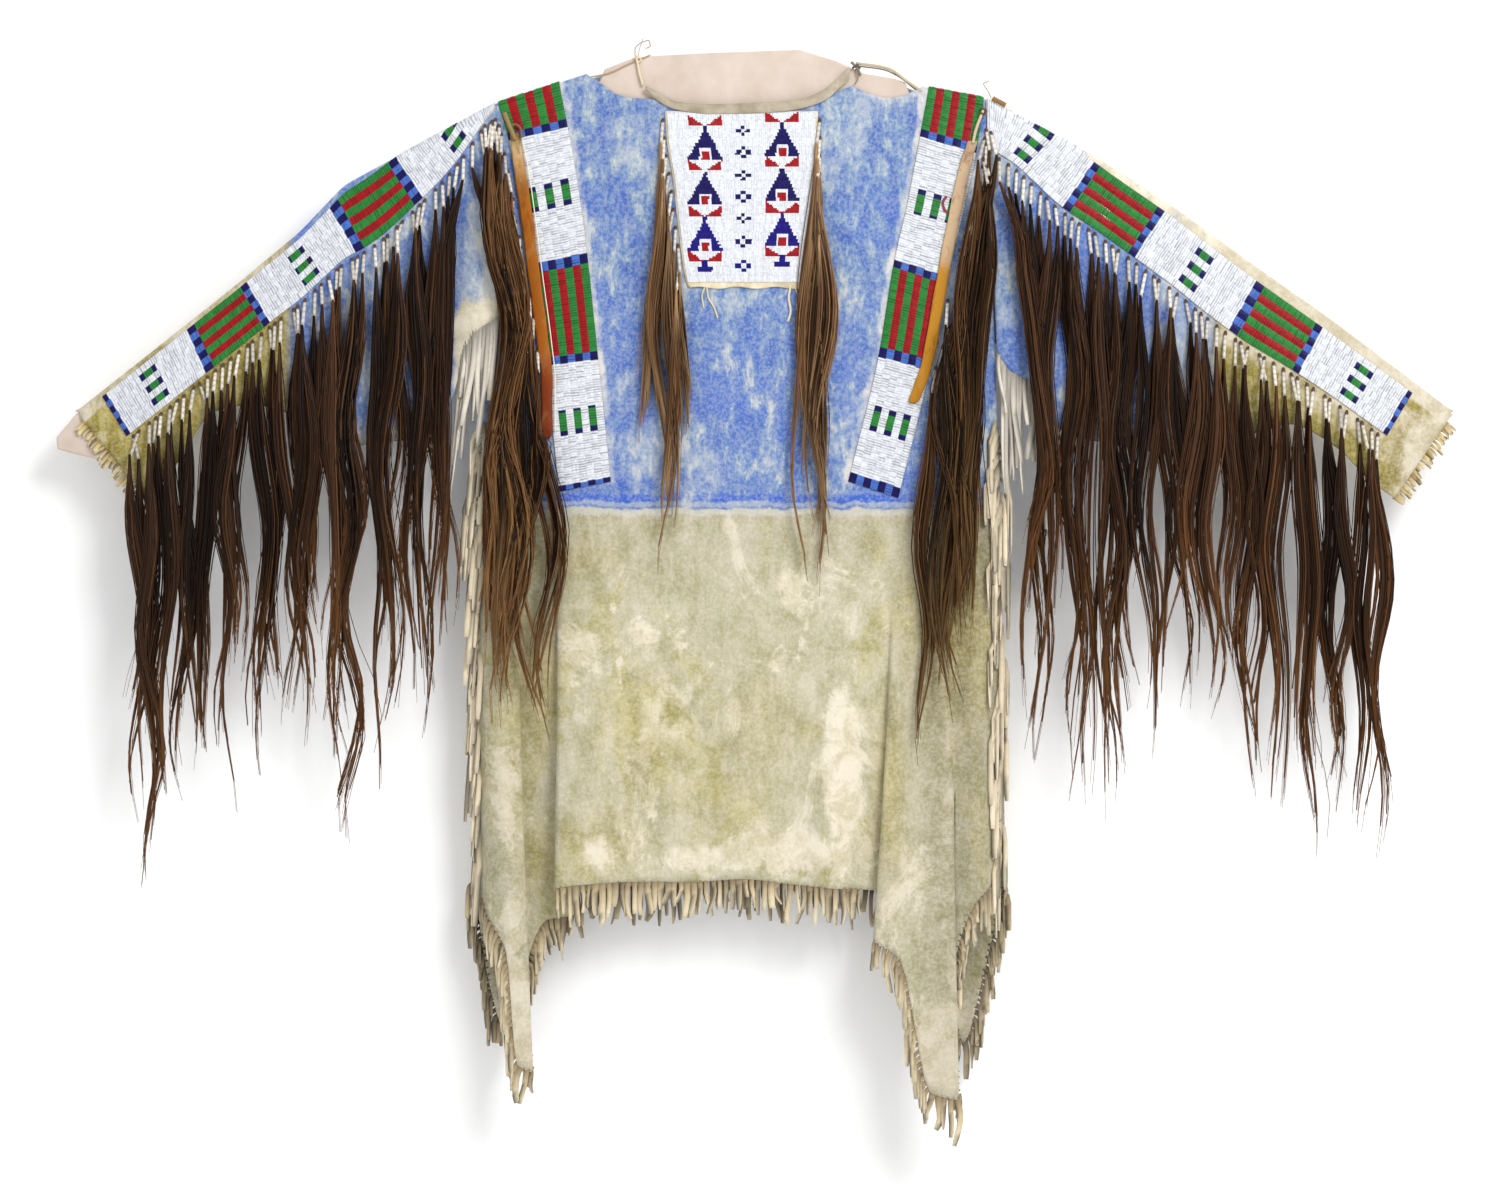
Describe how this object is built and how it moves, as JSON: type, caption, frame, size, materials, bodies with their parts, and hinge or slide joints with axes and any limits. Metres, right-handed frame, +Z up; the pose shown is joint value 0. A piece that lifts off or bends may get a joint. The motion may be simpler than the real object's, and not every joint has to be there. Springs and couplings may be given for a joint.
{
  "type": "plains war shirt on a flat mount board",
  "caption": "Poncho-cut hide shirt with open hanging sleeves, beaded strips and bib, hair locks and cut fringe, hung over a flat T-shaped cloth-covered board.",
  "frame": {"origin": "middle of the mount board's top edge, in the neck opening, where the board is held", "axes": "+Z up, -Y out of the front of the shirt, +X to the right as seen from the front, along the spread sleeves"},
  "size_m": [1.5366, 0.073, 1.1819],
  "materials": {
    "painted_hide": "matt smoked hide, rubbed blue paint above and yellow-green below",
    "beadwork": "small glass beads sewn in lanes, white with green, red and blue",
    "mount_board": "flat board under plain pinkish cotton cloth",
    "neck_trim": "worn taupe wool cloth binding",
    "hide_strap": "smooth old hide, orange to amber",
    "hair": "long brown hair with pale wrapped heads",
    "cut_fringe": "cut beige hide",
    "thong": "thin hide thong"
  },
  "bodies": {
    "root": {"board": "mount_board", "body_front": "painted_hide", "body_back": "painted_hide", "sleeve_left": "painted_hide", "sleeve_right": "painted_hide", "strip_sleeve_left": "beadwork", "strip_sleeve_right": "beadwork", "strip_body_left": "beadwork", "strip_body_right": "beadwork", "bib": "beadwork", "neck_trim": "neck_trim", "strap_left": "hide_strap", "strap_right": "hide_strap", "hair_sleeve_left": "hair", "hair_sleeve_right": "hair", "hair_body_left": "hair", "hair_body_right": "hair", "hair_bib_left": "hair", "hair_bib_right": "hair", "fringe_hem_left": "cut_fringe", "fringe_hem_centre": "cut_fringe", "fringe_hem_right": "cut_fringe", "fringe_hem_back": "cut_fringe", "fringe_side_left": "cut_fringe", "fringe_side_right": "cut_fringe", "fringe_flap_left": "cut_fringe", "fringe_flap_right": "cut_fringe", "fringe_cuff_left": "cut_fringe", "fringe_cuff_right": "cut_fringe", "neck_tie_left": "thong", "neck_tie_right": "thong", "shoulder_bundle": "thong", "bib_tie_left": "thong", "bib_tie_right": "thong"}
  },
  "joints": []
}
